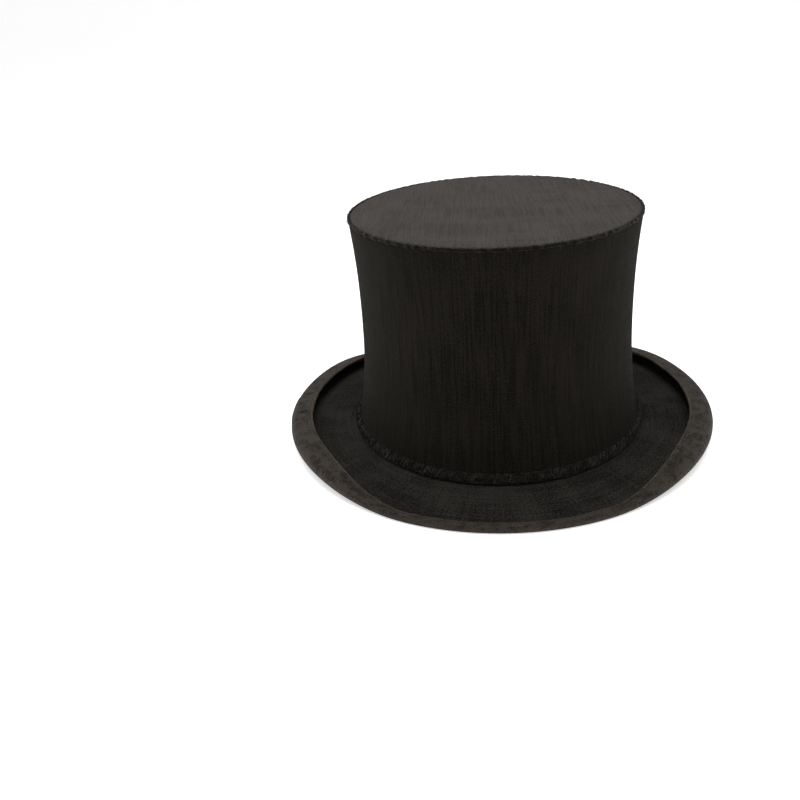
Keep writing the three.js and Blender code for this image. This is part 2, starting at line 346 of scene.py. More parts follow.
def cloth_material(name, dark, light, pitch_u, pitch_v, rib, grain_scale, mottle, lint, seed):
    """Woven wool cloth: grain, ribs along and across, threads, broad mottling and pale specks of lint.

    rib is the share of the ribs that runs along the cloth, mottle the weight of the broad patches.
    """
    s = Shader(name, roughness=0.95, specular=0.06, sheen=0.03, sheen_tint=(1.0, 0.9, 0.8))
    u, v = s.uv()
    flat = s.vector(u, v, seed)
    wander = s.times(s.math("SUBTRACT", s.noise(flat, 90.0, 2.0), 0.5), pitch_u * 1.1)
    threads = s.weave(s.plus(u, wander), v, pitch_u, pitch_v)
    up_at = s.vector(s.times(u, 0.6 / pitch_u), s.times(v, 24.0), seed + 3.1)
    up = s.spread(s.noise(up_at, 1.0, 3.0, 0.6), 0.34, 0.66)
    across_at = s.vector(s.times(u, 24.0), s.times(v, 0.6 / pitch_v), seed + 7.7)
    across = s.spread(s.noise(across_at, 1.0, 3.0, 0.6), 0.34, 0.66)
    ribs = s.plus(s.times(up, rib), s.times(across, 1 - rib))
    grain = s.spread(s.noise(flat, grain_scale, 4.0, 0.8), 0.38, 0.62)
    broad = s.spread(s.noise(s.vector(u, v, seed + 11.0), 30.0, 4.0, 0.6), 0.34, 0.68)
    shade = s.plus(s.times(grain, 0.42), s.times(ribs, 0.24))
    shade = s.plus(shade, s.times(broad, mottle))
    shade = s.plus(shade, s.times(threads, 0.34 - mottle))
    colour = s.mix(s.spread(shade, 0.3, 0.7), dark, light)
    cells = s.add("ShaderNodeTexVoronoi", {"Vector": flat, "Scale": 95.0}, feature="F1").outputs["Distance"]
    chosen = s.spread(s.noise(s.vector(u, v, seed + 31.0), 160.0, 1.0), 0.66, 0.7, 0.0, lint)
    speck = s.times(s.spread(cells, 0.035, 0.055, 1.0, 0.0), chosen)
    s.colour(s.mix(speck, colour, (0.28, 0.24, 0.2)))
    fuzz = s.noise(s.vector(u, v, seed + 19.0), 2600.0, 2.0, 0.7)
    height = s.plus(s.times(threads, 0.6), s.times(fuzz, 0.5))
    height = s.plus(height, s.plus(ribs, s.times(grain, 0.8)))
    s.bump(height, 0.00014)
    return s.material


def ribbon_material():
    """Grosgrain: ribs across the ribbon, mottled brown, rubbed pale along its folded edges, with painted
    shade under its roll and painted shadows at its lap.
    """
    s = Shader("grosgrain_ribbon", roughness=0.9, specular=0.14, sheen=0.06, sheen_tint=(1.0, 0.88, 0.76))
    u, v = s.uv()
    wander = s.times(s.math("SUBTRACT", s.noise(s.vector(u, v), 60.0, 2.0), 0.5), 0.0016)
    rib = s.math("POWER", s.math("ABSOLUTE", s.wave(s.plus(u, wander), RIB_PITCH)), 0.6)
    fine = s.wave(v, THREAD_PITCH)
    grain = s.spread(s.noise(s.vector(s.times(u, 1.6), v, 3.0), 480.0, 4.0, 0.8), 0.36, 0.64)
    mottle = s.spread(s.noise(s.vector(u, v, 5.0), 120.0, 4.0, 0.7), 0.36, 0.64)
    shade = s.plus(s.times(rib, 0.3), s.times(mottle, 0.4))
    shade = s.plus(shade, s.times(grain, 0.3))
    colour = s.mix(s.spread(shade, 0.28, 0.72), (0.0045, 0.0037, 0.003), (0.0395, 0.0325, 0.0262))
    rubbed = s.stored("wear")
    broken = s.spread(s.noise(s.vector(s.times(u, 2.5), v, 9.0), 260.0, 4.0, 0.7), 0.36, 0.64)
    patch = s.spread(s.noise(s.vector(u, v, 13.0), 34.0, 2.0), 0.38, 0.62, 0.35, 1.0)
    share = s.times(rubbed, s.times(broken, patch))
    colour = s.mix(share, colour, (0.115, 0.08, 0.052))
    # Painted shade and painted shadow: the stored dark value mixes in near-black under the roll and at the
    # lap's steps.
    s.colour(s.mix(s.stored("dark"), colour, (0.001, 0.0009, 0.0008)))
    s.rough(s.spread(share, 0.0, 1.0, 0.84, 0.94))
    height = s.plus(rib, s.plus(s.times(fine, 0.12), s.times(grain, 0.5)))
    s.bump(height, 0.0002)
    return s.material


def plush_material(name, dark, light, fleck, flecks=0.6, paler_tuft_tops=False):
    """Worn silk plush: black pile, a few soiled grey hairs and, where asked, the mesh's stored value in paler
    grey at the tuft tops: dust and painted highlight.
    """
    s = Shader(name, roughness=0.95, specular=0.12, sheen=0.2, sheen_tint=(0.85, 0.8, 0.72), sheen_rough=0.4)
    p = s.position()
    pile = s.noise(p, 1100.0, 3.0, 0.75)
    clumps = s.noise(p, 240.0, 3.0, 0.6)
    colour = s.mix(s.spread(s.times(pile, clumps), 0.14, 0.42), dark, light)
    if paler_tuft_tops:
        # Dust and painted highlight: the stored value turns the tops of the tufts paler grey.
        tuft_dust_and_highlight = s.stored("tuft_dust_and_highlight")
        colour = s.mix(s.times(tuft_dust_and_highlight, s.spread(pile, 0.38, 0.62)), colour, (0.062, 0.058, 0.049))
    s.colour(s.mix(s.spread(s.noise(p, 700.0, 4.0, 0.8), 0.66, 0.76, 0.0, flecks), colour, fleck))
    s.bump(s.plus(pile, clumps), 0.0005)
    return s.material


def leather_material():
    s = Shader("sweatband_leather", roughness=0.5, specular=0.4)
    u, v = s.uv()
    p = s.vector(u, v)
    pores = s.add("ShaderNodeTexVoronoi", {"Vector": p, "Scale": 900.0}, feature="DISTANCE_TO_EDGE")
    creases = s.noise(s.vector(s.times(u, 0.35), v), 160.0, 4.0, 0.65)
    stain = s.noise(p, 22.0, 4.0, 0.6)
    colour = s.mix(s.spread(stain, 0.3, 0.7), (0.13, 0.055, 0.024), (0.3, 0.15, 0.07))
    dirt = s.times(s.spread(v, 0.0, 0.016, 1.0, 0.0), s.spread(stain, 0.25, 0.6))
    s.colour(s.mix(s.times(dirt, 0.75), colour, (0.045, 0.02, 0.012)))
    s.rough(s.spread(creases, 0.3, 0.7, 0.4, 0.62))
    height = s.plus(s.spread(pores.outputs["Distance"], 0.0, 0.12), s.times(creases, 1.6))
    s.bump(height, 0.00018)
    return s.material


def satin_material():
    s = Shader(
        "lining_satin", roughness=0.36, specular=0.5, sheen=0.3, sheen_tint=(1, 0.97, 0.9), sheen_rough=0.3
    )
    u, v = s.uv()
    warp = s.noise(s.vector(s.times(u, 2200.0), s.times(v, 60.0)), 1.0, 2.0)
    age = s.noise(s.vector(u, v, 2.0), 18.0, 5.0, 0.6)
    colour = s.mix(s.spread(age, 0.3, 0.72), (0.62, 0.53, 0.39), (0.76, 0.7, 0.58))
    fox = s.spread(s.noise(s.vector(u, v, 8.0), 75.0, 3.0, 0.7), 0.68, 0.8, 0.0, 0.55)
    s.colour(s.mix(fox, colour, (0.36, 0.24, 0.13)))
    s.rough(s.spread(warp, 0.25, 0.75, 0.3, 0.46))
    s.bump(warp, 0.00004)
    return s.material


def steel_material():
    s = Shader("blued_steel", roughness=0.42, specular=0.5, metallic=1.0)
    p = s.position()
    cloud = s.noise(p, 90.0, 5.0, 0.6)
    colour = s.mix(s.spread(cloud, 0.3, 0.7), (0.13, 0.135, 0.15), (0.3, 0.29, 0.28))
    rust = s.spread(s.noise(p, 420.0, 6.0, 0.7), 0.6, 0.72)
    s.colour(s.mix(rust, colour, (0.16, 0.065, 0.03)))
    s.rough(s.spread(cloud, 0.25, 0.75, 0.34, 0.6))
    s.put(s.bsdf.inputs["Metallic"], s.spread(rust, 0.0, 1.0, 1.0, 0.25))
    s.bump(s.noise(p, 1300.0, 3.0, 0.7), 0.00006)
    return s.material


def board_material():
    s = Shader("millboard", roughness=0.92, specular=0.2)
    p = s.position()
    fibre = s.noise(p, 1400.0, 4.0, 0.7)
    s.colour(s.mix(s.spread(s.noise(p, 45.0, 4.0), 0.3, 0.7), (0.3, 0.2, 0.12), (0.45, 0.33, 0.2)))
    s.bump(fibre, 0.00015)
    return s.material


def thread_material(name, colour):
    s = Shader(name, roughness=0.7, specular=0.3, sheen=0.2)
    p = s.position()
    twist = s.noise(p, 2200.0, 2.0)
    s.colour(s.mix(s.spread(twist, 0.3, 0.7), tuple(0.6 * c for c in colour), colour))
    s.bump(twist, 0.0001)
    return s.material


def floor_material():
    s = Shader("studio_paper", roughness=0.9, specular=0.1)
    grain = s.noise(s.position(), 3.0, 3.0)
    s.colour(s.mix(grain, (0.83, 0.83, 0.83), (0.86, 0.86, 0.855)))
    s.bsdf.inputs["Emission Color"].default_value = (1, 1, 1, 1)
    s.bsdf.inputs["Emission Strength"].default_value = 0.6
    return s.material


CROWN_CLOTH = cloth_material(
    "crown_wool",
    dark=(0.001, 0.0008, 0.0005),
    light=(0.0162, 0.0138, 0.0102),
    pitch_u=0.0006,
    pitch_v=0.0009,
    rib=0.9,
    grain_scale=1300.0,
    mottle=0.08,
    lint=0.8,
    seed=1.0,
)
# The tip's wool is coloured several times lighter than the crown's and the brim's: painted light from above
# on its upward face.
TIP_CLOTH = cloth_material(
    "tip_wool",
    dark=(0.022, 0.0198, 0.0178),
    light=(0.073, 0.0655, 0.0598),
    pitch_u=0.0007,
    pitch_v=0.0007,
    rib=0.55,
    grain_scale=1100.0,
    mottle=0.09,
    lint=0.5,
    seed=5.0,
)
BRIM_CLOTH = cloth_material(
    "brim_wool",
    dark=(0.0015, 0.0014, 0.0012),
    light=(0.0275, 0.0258, 0.0225),
    pitch_u=0.0006,
    pitch_v=0.0006,
    rib=0.45,
    grain_scale=1000.0,
    mottle=0.18,
    lint=0.8,
    seed=9.0,
)
RIBBON = ribbon_material()
BRAID_PLUSH = plush_material(
    "braid_plush",
    dark=(0.0015, 0.0014, 0.0012),
    light=(0.012, 0.0115, 0.01),
    fleck=(0.12, 0.105, 0.085),
    flecks=0.5,
    paler_tuft_tops=True,
)
PIPING_PLUSH = plush_material(
    "piping_plush", dark=(0.0012, 0.001, 0.0009), light=(0.013, 0.0115, 0.0095), fleck=(0.09, 0.072, 0.055)
)
PILE = plush_material(
    "plush_pile", dark=(0.003, 0.0027, 0.0024), light=(0.032, 0.03, 0.026), fleck=(0.16, 0.14, 0.115)
)
LEATHER = leather_material()
SATIN = satin_material()
STEEL = steel_material()
BOARD = board_material()
BLACK_THREAD = thread_material("black_thread", (0.02, 0.018, 0.016))
CREAM_THREAD = thread_material("cream_thread", (0.5, 0.42, 0.3))


# ---- Fibres and stitches -------------------------------------------------------------------------
def tube_arrays(centres, radii, sides):
    """Points and faces of a closed tapering tube along centres."""
    centres = np.asarray(centres, float)
    d = np.gradient(centres, axis=0)
    d /= np.linalg.norm(d, axis=1, keepdims=True) + 1e-12
    side = np.cross(d, [0.31, 0.17, 0.93])
    side /= np.linalg.norm(side, axis=1, keepdims=True) + 1e-12
    other = np.cross(d, side)
    a = angles(sides)
    rings = centres[:, None] + np.asarray(radii)[:, None, None] * (
        np.cos(a)[None, :, None] * side[:, None] + np.sin(a)[None, :, None] * other[:, None]
    )
    n = len(centres)
    faces = [tuple(reversed(range(sides)))]
    for i in range(n - 1):
        for j in range(sides):
            k = (j + 1) % sides
            faces.append((i * sides + j, i * sides + k, (i + 1) * sides + k, (i + 1) * sides + j))
    faces.append(tuple(range((n - 1) * sides, n * sides)))
    return rings.reshape(-1, 3), faces


class Strands:
    """Many small closed tubes collected into one mesh."""

    def __init__(self):
        self.points, self.faces, self.count = [], [], 0

    def tube(self, centres, radii, sides=3):
        points, faces = tube_arrays(centres, radii, sides)
        self.points.append(points)
        self.faces += [tuple(v + self.count for v in f) for f in faces]
        self.count += len(points)

    def stitch(self, a, b, out, radius):
        """A short raised stitch from a to b, bowed along out."""
        a, b, out = (np.asarray(x, float) for x in (a, b, out))
        steps = np.linspace(0, 1, 5)[:, None]
        centres = a + (b - a) * steps + out * (np.sin(steps * math.pi) * radius * 0.9)
        self.tube(centres, radius * np.array([0.45, 0.9, 1, 0.9, 0.45]), 6)

    def piece(self, name):
        return make_mesh(name, np.concatenate(self.points), self.faces)


def frame_at(t, offset, z):
    """A point on the oval with its outward, along and up directions, in metres."""
    p = place(t, offset, z)
    out = place(t, offset + 1, z) - p
    out /= np.linalg.norm(out)
    along = np.cross([0, 0, 1], out)
    return p, out, along, np.array([0.0, 0, 1])


def fuzz(strands, root, count, length, radius, lean, seed):
    """Short curved hairs round the oval, in mm. root(rng) gives offset, z and (out, along, up)."""
    rng = random.Random(seed)
    for _ in range(count):
        t = rng.uniform(0, TAU)
        offset, z, (o, a, u) = root(rng)
        p, out, along, up = frame_at(t, offset, z)
        direction = out * o + along * (a + rng.gauss(0, lean)) + up * u
        direction /= np.linalg.norm(direction)
        bend = along * rng.gauss(0, lean) + up * rng.gauss(0, lean)
        reach = rng.uniform(*length) * MM
        steps = np.linspace(0, 1, 4)[:, None]
        centres = p + direction * reach * steps + bend * reach * 0.6 * steps**2
        strands.tube(centres, radius * MM * np.array([1, 0.9, 0.7, 0.3]))


# ---- Crown ---------------------------------------------------------------------------------------
def crown_offset(z):
    zs, offsets = np.array(CROWN_PROFILE).T
    dense = np.linspace(zs[0], zs[-1], 400)
    return np.interp(z, dense, smoothed(np.interp(dense, zs, offsets), 18))


CROWN_ROWS = 84
CROWN_TURNS = 1080
PULLS = 46  # faint ones, all round the crown
LEFT_PULLS = 9  # stronger ones, low on the hat's left


def crown_creases(t, z):
    """How far the pulls stand out from the crown cloth, in mm: narrow, upright, and gone at both hoops."""
    rng = random.Random(21)
    out = np.zeros(np.broadcast_shapes(t.shape, z.shape))
    share = (z - crown_low[2]) / (crown_high[2] - crown_low[2])
    for _ in range(PULLS):
        middle = rng.uniform(0, TAU)
        width = rng.uniform(0.009, 0.026)
        slant = rng.gauss(0, 0.03)
        centre = rng.uniform(0.25, 0.8)
        spread = rng.uniform(0.14, 0.34)
        amount = rng.choice([-1, 1]) * rng.uniform(0.05, 0.2)
        d = np.angle(np.exp(1j * (t - middle - slant * (share - centre))))
        out = out + amount * np.exp(-((d / width) ** 2)) * np.exp(-(((share - centre) / spread) ** 2))
    for k in range(LEFT_PULLS):
        middle = math.pi + rng.uniform(-0.32, 0.4)
        width = rng.uniform(0.014, 0.026)
        centre = rng.uniform(0.12, 0.5)
        amount = rng.uniform(0.22, 0.42) * (-1) ** k
        d = np.angle(np.exp(1j * (t - middle - 0.05 * (share - centre))))
        out = out + amount * np.exp(-((d / width) ** 2)) * np.exp(-(((share - centre) / 0.26) ** 2))
    return out * np.sin(np.clip(share, 0, 1) * math.pi) ** 0.5


# The crown cloth folds between the brackets of the two hoops. Each part: name, body, foot, head and the
# hoops it rests on.
FOLD_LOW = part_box("base_bracket_1")[1][2] / MM + 0.4
FOLD_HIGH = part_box("tip_bracket_1")[0][2] / MM - 0.4
CROWN_PARTS = (
    ("foot", "base", crown_low[2], FOLD_LOW, ["base_hoop"]),
    ("middle", "base", FOLD_LOW, FOLD_HIGH, ["base_hoop", "tip_hoop"]),
    ("head", "tip", FOLD_HIGH, crown_high[2], ["tip_hoop"]),
)


def fold(piece):
    """Gives the piece its own copy of its mesh."""
    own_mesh(piece)


def crown_cloth():
    """The crown's cloth: a part over each hoop, which stays, and the middle. They meet."""
    height = crown_high[2] - crown_low[2]
    rows = [max(4, round(CROWN_ROWS * (high - low) / height)) for _, _, low, high, _ in CROWN_PARTS]
    levels = [np.linspace(low, high, n, endpoint=False) for n, (_, _, low, high, _) in zip(rows, CROWN_PARTS)]
    z = np.concatenate([*levels, [crown_high[2]]])[None, :]
    t = angles(CROWN_TURNS)[:, None]
    share = (z - crown_low[2]) / height
    bow = np.sin(share * math.pi)
    broad = wave(t, [(3, 7, 0.09)], 4) * bow
    lap = 0.32 * smoothstep(-from_seam(t), -0.034, -0.03)
    offset = crown_offset(z) + crown_creases(t, z) + broad + lap
    path = np.stack(np.broadcast_arrays(offset, z), -1)
    whole = layer(path, ups(path), 0.0, 0.5)
    count = path.shape[1]
    along = distance_along(path[0])
    first = 0
    for n, (name, body, low, high, hoops) in zip(rows, CROWN_PARTS):
        last = first + n
        inside = whole[:, first : last + 1]
        outside = whole[:, 2 * count - 1 - last : 2 * count - first]
        arrays = ring_arrays(np.concatenate([inside, outside], 1), float(offset.mean()), float(along[first]))
        piece = make_mesh("crown_cloth_" + name, *arrays)
        finish_piece(piece, CROWN_CLOTH, body, ["crown_cover"] if name == "middle" else [])
        if name == "middle":
            fold(piece)
        first = last


def crown_seam():
    """The back seam's row of fine stitches."""
    beside_seam, pitch, length = 0.026, 2.6, 1.5
    for name, body, low, high, _ in CROWN_PARTS:
        strands = Strands()
        start = max(low + 0.4, crown_low[2] + 8)
        stop = min(high, crown_high[2] - 3) - 1.9
        for z in np.arange(start, stop, pitch):
            ends = (place(SEAM + beside_seam, float(crown_offset(h)) + 0.36, h) for h in (z, z + length))
            strands.stitch(*ends, (0, 1, 0), 0.16 * MM)
        piece = strands.piece("crown_seam_stitches_" + name)
        finish_piece(piece, BLACK_THREAD, body)
        if name == "middle":
            fold(piece)


def base_braid():
    """A narrow plush braid round the foot of the crown, of slanting tufts with dark gaps between them."""
    n, m = 1800, 16
    t = angles(n)[:, None]
    z = np.linspace(braid_low[2] + 0.1, braid_high[2], m)[None, :]
    share = (z - z[0, 0]) / (z[0, -1] - z[0, 0])
    inner = crown_offset(z) + 0.12
    arc = arc_lengths(n)[:-1, None] / MM
    phase = arc * TAU / TUFT_PITCH - share * 6.5 + wave(t, [(20, 90, 0.5), (90, 260, 0.22)], 6)
    tuft = 0.5 + 0.5 * np.sin(phase)
    body = 1.55 * np.sin(np.clip(share * 0.94 + 0.04, 0, 1) * math.pi) ** 0.45
    uneven = 1 + 0.14 * wave(t, [(5, 9, 0.3), (30, 60, 0.06)], 8)
    swell = body * uneven - 0.75 * (1 - tuft) * np.sin(share * math.pi)
    ragged = (wave(t, [(40, 110, 0.05)], 9) + 0.5 * tuft) * share**2
    outer = np.stack(np.broadcast_arrays(inner + np.maximum(swell, 0.15), z + ragged), -1)
    inside = np.stack(np.broadcast_arrays(inner + 0 * t, z + ragged), -1)
    piece = ring("crown_base_braid", np.concatenate([outer, inside[:, ::-1]], 1), 60)
    # Dust and painted highlight: paler at the tops of the tufts and where the braid bulges out most, none in
    # the gaps between them.
    tuft_dust_and_highlight = np.clip(tuft * (0.6 + wave(t, [(12, 70, 0.13)], 10)) * np.sin(share * math.pi) ** 0.6, 0, 1)
    store(piece, "tuft_dust_and_highlight", tuft_dust_and_highlight)
    finish_piece(piece, BRAID_PLUSH, "base", ["hat_band"])

    def root(rng):
        z = braid_low[2] + rng.uniform(0.3, braid_high[2] - braid_low[2])
        top = z > braid_high[2] - 1.2
        offset = float(crown_offset(z)) + (0.5 if top else 1.1)
        return offset, z, (0.8, 0.9, 1.0 if top else rng.uniform(0.0, 0.8))

    strands = Strands()
    fuzz(strands, root, count=7000, length=(0.8, 2.0), radius=0.09, lean=0.35, seed=31)
    finish_piece(strands.piece("crown_base_braid_pile"), PILE, "base")


# ---- Tip -----------------------------------------------------------------------------------------
def disc(name, offset, z_of, thick, rings=46, turns=480):
    """A flat oval cloth with a closed underside. z_of(x, y, share) is the upper side's height in mm."""
    t = angles(turns)
    edge = place(t, offset, 0.0) / MM
    shares = np.concatenate([np.linspace(0, 0.9, rings - 10)[1:], np.linspace(0.9, 1, 11)])
    xy = shares[:, None, None] * edge[None, :, :2]
    s = np.broadcast_to(shares[:, None], xy.shape[:2])
    top = np.dstack([xy, z_of(xy[..., 0], xy[..., 1], s)])
    centre = np.array([[0, 0, float(z_of(np.zeros(1), np.zeros(1), np.zeros(1))[0])]])
    upper = np.concatenate([centre, top.reshape(-1, 3)])
    lower = upper - [0, 0, thick]
    count = len(upper)
    faces = []
    for i in range(turns):
        k = (i + 1) % turns
        faces.append((0, 1 + i, 1 + k))
    for r in range(len(shares) - 1):
        a, b = 1 + r * turns, 1 + (r + 1) * turns
        for i in range(turns):
            k = (i + 1) % turns
            faces.append((a + i, b + i, b + k, a + k))
    under = [tuple(v + count for v in reversed(f)) for f in faces]
    last = 1 + (len(shares) - 1) * turns
    rim = []
    for i in range(turns):
        a, b = last + i, last + (i + 1) % turns
        rim.append((a, a + count, b + count, b))
    points = np.concatenate([upper, lower]) * MM
    faces = faces + under + rim
    uvs = np.concatenate([points[list(f), :2] for f in faces])
    return make_mesh(name, points, faces, uvs)


def dents(x, y, amount, seed, count=14, size=(14, 34)):
    rng = random.Random(seed)
    out = np.zeros_like(x)
    for _ in range(count):
        r, a = rng.uniform(0, 0.85), rng.uniform(0, TAU)
        cx, cy, w = HALF_W * r * math.cos(a), HALF_L * r * math.sin(a), rng.uniform(*size)
        out = out + rng.uniform(-1, 1) * amount * np.exp(-((x - cx) ** 2 + (y - cy) ** 2) / w**2)
    return out


TIP_EDGE = (tip_high[0] - HALF_W) + 0.9  # offset of the tip cloth's edge
PIPING_RADIUS = (piping_high[2] - piping_low[2]) / 2
LOOSE_THREAD = math.radians(73)  # where a thread stands up at the back of the tip


def tip_cloth():
    def height(x, y, share):
        return tip_high[2] + 0.1 + dents(x, y, 0.16, 3) - 0.7 * smoothstep(share, 0.985, 1.0)

    piece = disc("tip_cloth", TIP_EDGE, height, 0.5)
    finish_piece(piece, TIP_CLOTH, "tip", ["tip_cover"])


def tip_piping():
    """A thin worn cord round the edge of the tip, with its pile rubbed into tufts and one loose thread."""
    n, m = 1400, 12
    t = angles(n)[:, None]
    a = angles(m)[None, :]
    arc = arc_lengths(n)[:-1, None] / MM
    middle_offset = piping_high[0] - HALF_W - PIPING_RADIUS
    middle_z = piping_high[2] - PIPING_RADIUS
    wobble = wave(t, [(6, 16, 0.02), (60, 120, 0.005)], 12)
    twist = 0.12 * np.sin(arc * TAU / 1.7 + 2 * a)
    radius = 1.2 * PIPING_RADIUS * (1 + twist + wave(t, [(50, 120, 0.034)], 14))
    offset = middle_offset + wobble + radius * np.cos(a)
    z = middle_z + 0.6 * wobble + radius * np.sin(a)
    piece = ring("tip_edge_piping", np.stack([offset, z], -1), 60)
    finish_piece(piece, PIPING_PLUSH, "tip", ["tip_piping"])

    def root(rng):
        a = rng.uniform(-1.9, 2.4)
        o, u = math.cos(a), math.sin(a)
        reach = 0.8 * PIPING_RADIUS
        return middle_offset + reach * o, middle_z + reach * u, (o, 1.1, u)

    def drooping(rng):
        offset, z, (o, a, u) = root(rng)
        return offset, z, (o + 0.3, a, u - 0.5)

    strands = Strands()
    fuzz(strands, root, count=6200, length=(0.4, 1.3), radius=0.1, lean=0.7, seed=41)
    fuzz(strands, drooping, count=700, length=(0.9, 2.0), radius=0.1, lean=0.9, seed=43)
    p, _, along, up = frame_at(LOOSE_THREAD, middle_offset, middle_z + PIPING_RADIUS)
    steps = np.linspace(0, 1, 6)[:, None]
    strands.tube(p + (up * 1.9 * steps + along * 0.5 * steps**2) * MM, np.full(6, 0.16) * MM, 5)
    finish_piece(strands.piece("tip_edge_pile"), PILE, "tip")


# ---- Brim ----------------------------------------------------------------------------------------
BRIM_TURNS = 720
PATH_STEPS = {"collar": 6, "slope": 22, "flat": 8, "roll": 22, "flange": 16}


def side_share(t):
    """1 at the sides of the brim, where it rolls up, and 0 at its ends."""
    return smoothstep(np.abs(np.cos(t)), 0.4, 0.92)


def brim_path():
    """The middle of the brim board, from its inner edge out, round the roll and back: (turns, steps, 2)."""
    t = angles(BRIM_TURNS)[:, None]
    share = side_share(t)
    roll = BRIM["roll_ends"] + (BRIM["roll_sides"] - BRIM["roll_ends"]) * share
    end = BRIM["reach_ends"] + (BRIM["reach_sides"] - BRIM["reach_ends"]) * share - roll - COVER
    low = COVER + BRIM["lift"] * share
    flange_wave = wave(t, [(7, 15, 0.05), (22, 44, 0.016)], 17) * (0.5 + 0.8 * share)

    def line(o0, z0, o1, z1, steps):
        k = np.linspace(0, 1, steps, endpoint=False)[None, :]
        return np.stack(np.broadcast_arrays(o0 + (o1 - o0) * k + 0 * t, z0 + (z1 - z0) * k), -1)

    flat = np.concatenate(
        [
            line(BRIM["inner"], BRIM["collar_z"], BRIM["collar"], BRIM["collar_z"], PATH_STEPS["collar"]),
            line(BRIM["collar"], BRIM["collar_z"], end - BRIM["under"], low, PATH_STEPS["slope"]),
            line(end - BRIM["under"], low, end, low, PATH_STEPS["flat"]),
        ],
        1,
    )
    a = np.linspace(0, math.pi, PATH_STEPS["roll"], endpoint=False)[None, :]
    arc = np.stack([end + roll * np.sin(a), low + roll - roll * np.cos(a)], -1)
    k = np.linspace(0, 1, PATH_STEPS["flange"] + 1)[None, :]
    rise = BRIM["flange_rise"] * share * k
    width = BRIM["flange_ends"] + (BRIM["flange_sides"] - BRIM["flange_ends"]) * share
    flange = np.stack([end - width * k, low + 2 * roll + rise + flange_wave * k], -1)
    return np.concatenate([smoothed(flat, 1.6, axis=1), arc, flange], 1)


PATH = brim_path()
UPS = ups(PATH)
RIBBON_START = PATH_STEPS["collar"] + PATH_STEPS["slope"]
ROLL_START = RIBBON_START + PATH_STEPS["flat"]


def brim_board():
    half = BRIM["board"] / 2
    piece = ring("brim_millboard", layer(PATH, UPS, -half, half))
    finish_piece(piece, BOARD, "base", ["brim_board"])


def brim_cloths():
    """The brim's two covers. The upper one thins out where it goes under the ribbon."""
    t = angles(BRIM_TURNS)[:, None]
    low = BRIM["board"] / 2 + BRIM["gap"] * 0.5
    part = PATH[:, PATH_STEPS["collar"] - 2 : ROLL_START + 7]
    up = UPS[:, PATH_STEPS["collar"] - 2 : ROLL_START + 7]
    ripple = wave(t, [(4, 9, 0.035), (14, 30, 0.012)], 23) * np.ones(part.shape[:2])
    covered = smoothstep(np.arange(part.shape[1]), part.shape[1] - 22, part.shape[1] - 13)[None, :]
    thick = (0.5 + ripple) * (1 - covered) + 0.25 * covered
    top = ring("brim_top_cloth", layer(part, up, low, low + thick))
    finish_piece(top, BRIM_CLOTH, "base", ["brim_top_cover"])
    part = PATH[:, 1 : RIBBON_START + 3]
    up = UPS[:, 1 : RIBBON_START + 3]
    under = ring("brim_under_cloth", layer(part, up, -low - 0.42, -low))
    finish_piece(under, BRIM_CLOTH, "base", ["brim_under_cover"])


LAP = [(3.046, 3.07), (3.264, 3.288)]  # angles where its lap rises and falls, on the hat's left
RIBBON_HALF = 0.2  # half the ribbon's thickness
ROLL_MIDDLE = PATH_STEPS["flat"] + PATH_STEPS["roll"] // 2  # the ribbon's row at the outermost of the roll
ROLL_WEAR = (0.12, 0.3, 0.5, 0.6, 0.6, 0.6, 0.5, 0.35, 0.2)  # from 5 rows before the roll's middle
EDGE_WEAR = (0.5, 1, 1, 1, 0.7, 0.3)  # from 1 row before the end of the board


def ribbon_path():
    """The ribbon's middle, each row's share of the flange, and the row at the end of the board."""
    distance = BRIM["board"] / 2 + BRIM["gap"] * 0.5 + RIBBON_HALF
    out_path = PATH[:, RIBBON_START:] - UPS[:, RIBBON_START:] * distance
    end = PATH[:, -1:]
    back = end - PATH[:, -2:-1]
    back /= np.linalg.norm(back, axis=2, keepdims=True)
    a = np.linspace(0, math.pi, 9)[None, 1:, None]
    cap = end + distance * (np.sin(a) * back - np.cos(a) * UPS[:, -1:])
    k = np.linspace(0, 1, 5)[None, 1:, None]
    path = np.concatenate([out_path, cap, cap[:, -1:] - back * 3.0 * k], 1)
    edge = out_path.shape[1]
    share = np.ones(path.shape[1])
    share[:edge] = 0
    share[edge - PATH_STEPS["flange"] : edge] = np.linspace(0, 1, PATH_STEPS["flange"])
    return path, share, edge


def mark_ribbon(piece, t, share, edge):
    """Store where the ribbon is rubbed, and where shade is painted on it: painted shadows at the steps of its
    lap and painted shade under the roll.
    """
    wear = np.zeros((BRIM_TURNS, len(share)))
    wear[:, ROLL_MIDDLE - 5 : ROLL_MIDDLE + 4] = (1 - 0.35 * side_share(t)) * ROLL_WEAR
    wear[:, edge - 1 : edge + 5] = EDGE_WEAR
    store(piece, "wear", wear)
    # Painted shadow: near-black lines across the ribbon at the steps where its lap rises and falls.
    near = np.clip(sum(1.9 * np.exp(-(((t - at) / 0.013) ** 2)) for at, _ in LAP), 0, 1)
    painted_lap_shadow = near * smoothstep(share, 0.02, 0.1)[None, :] * (1 - smoothstep(share, 0.62, 0.72))[None, :]
    # Painted shade: from just above the roll's middle down onto the underside, strongest at the front and
    # back.
    under = ROLL_MIDDLE - np.arange(len(share))[None, :]
    painted_shade_under_roll = 0.62 * smoothstep(under, -1, 6) * (1 - side_share(t))
    store(piece, "dark", np.maximum(painted_lap_shadow, painted_shade_under_roll))


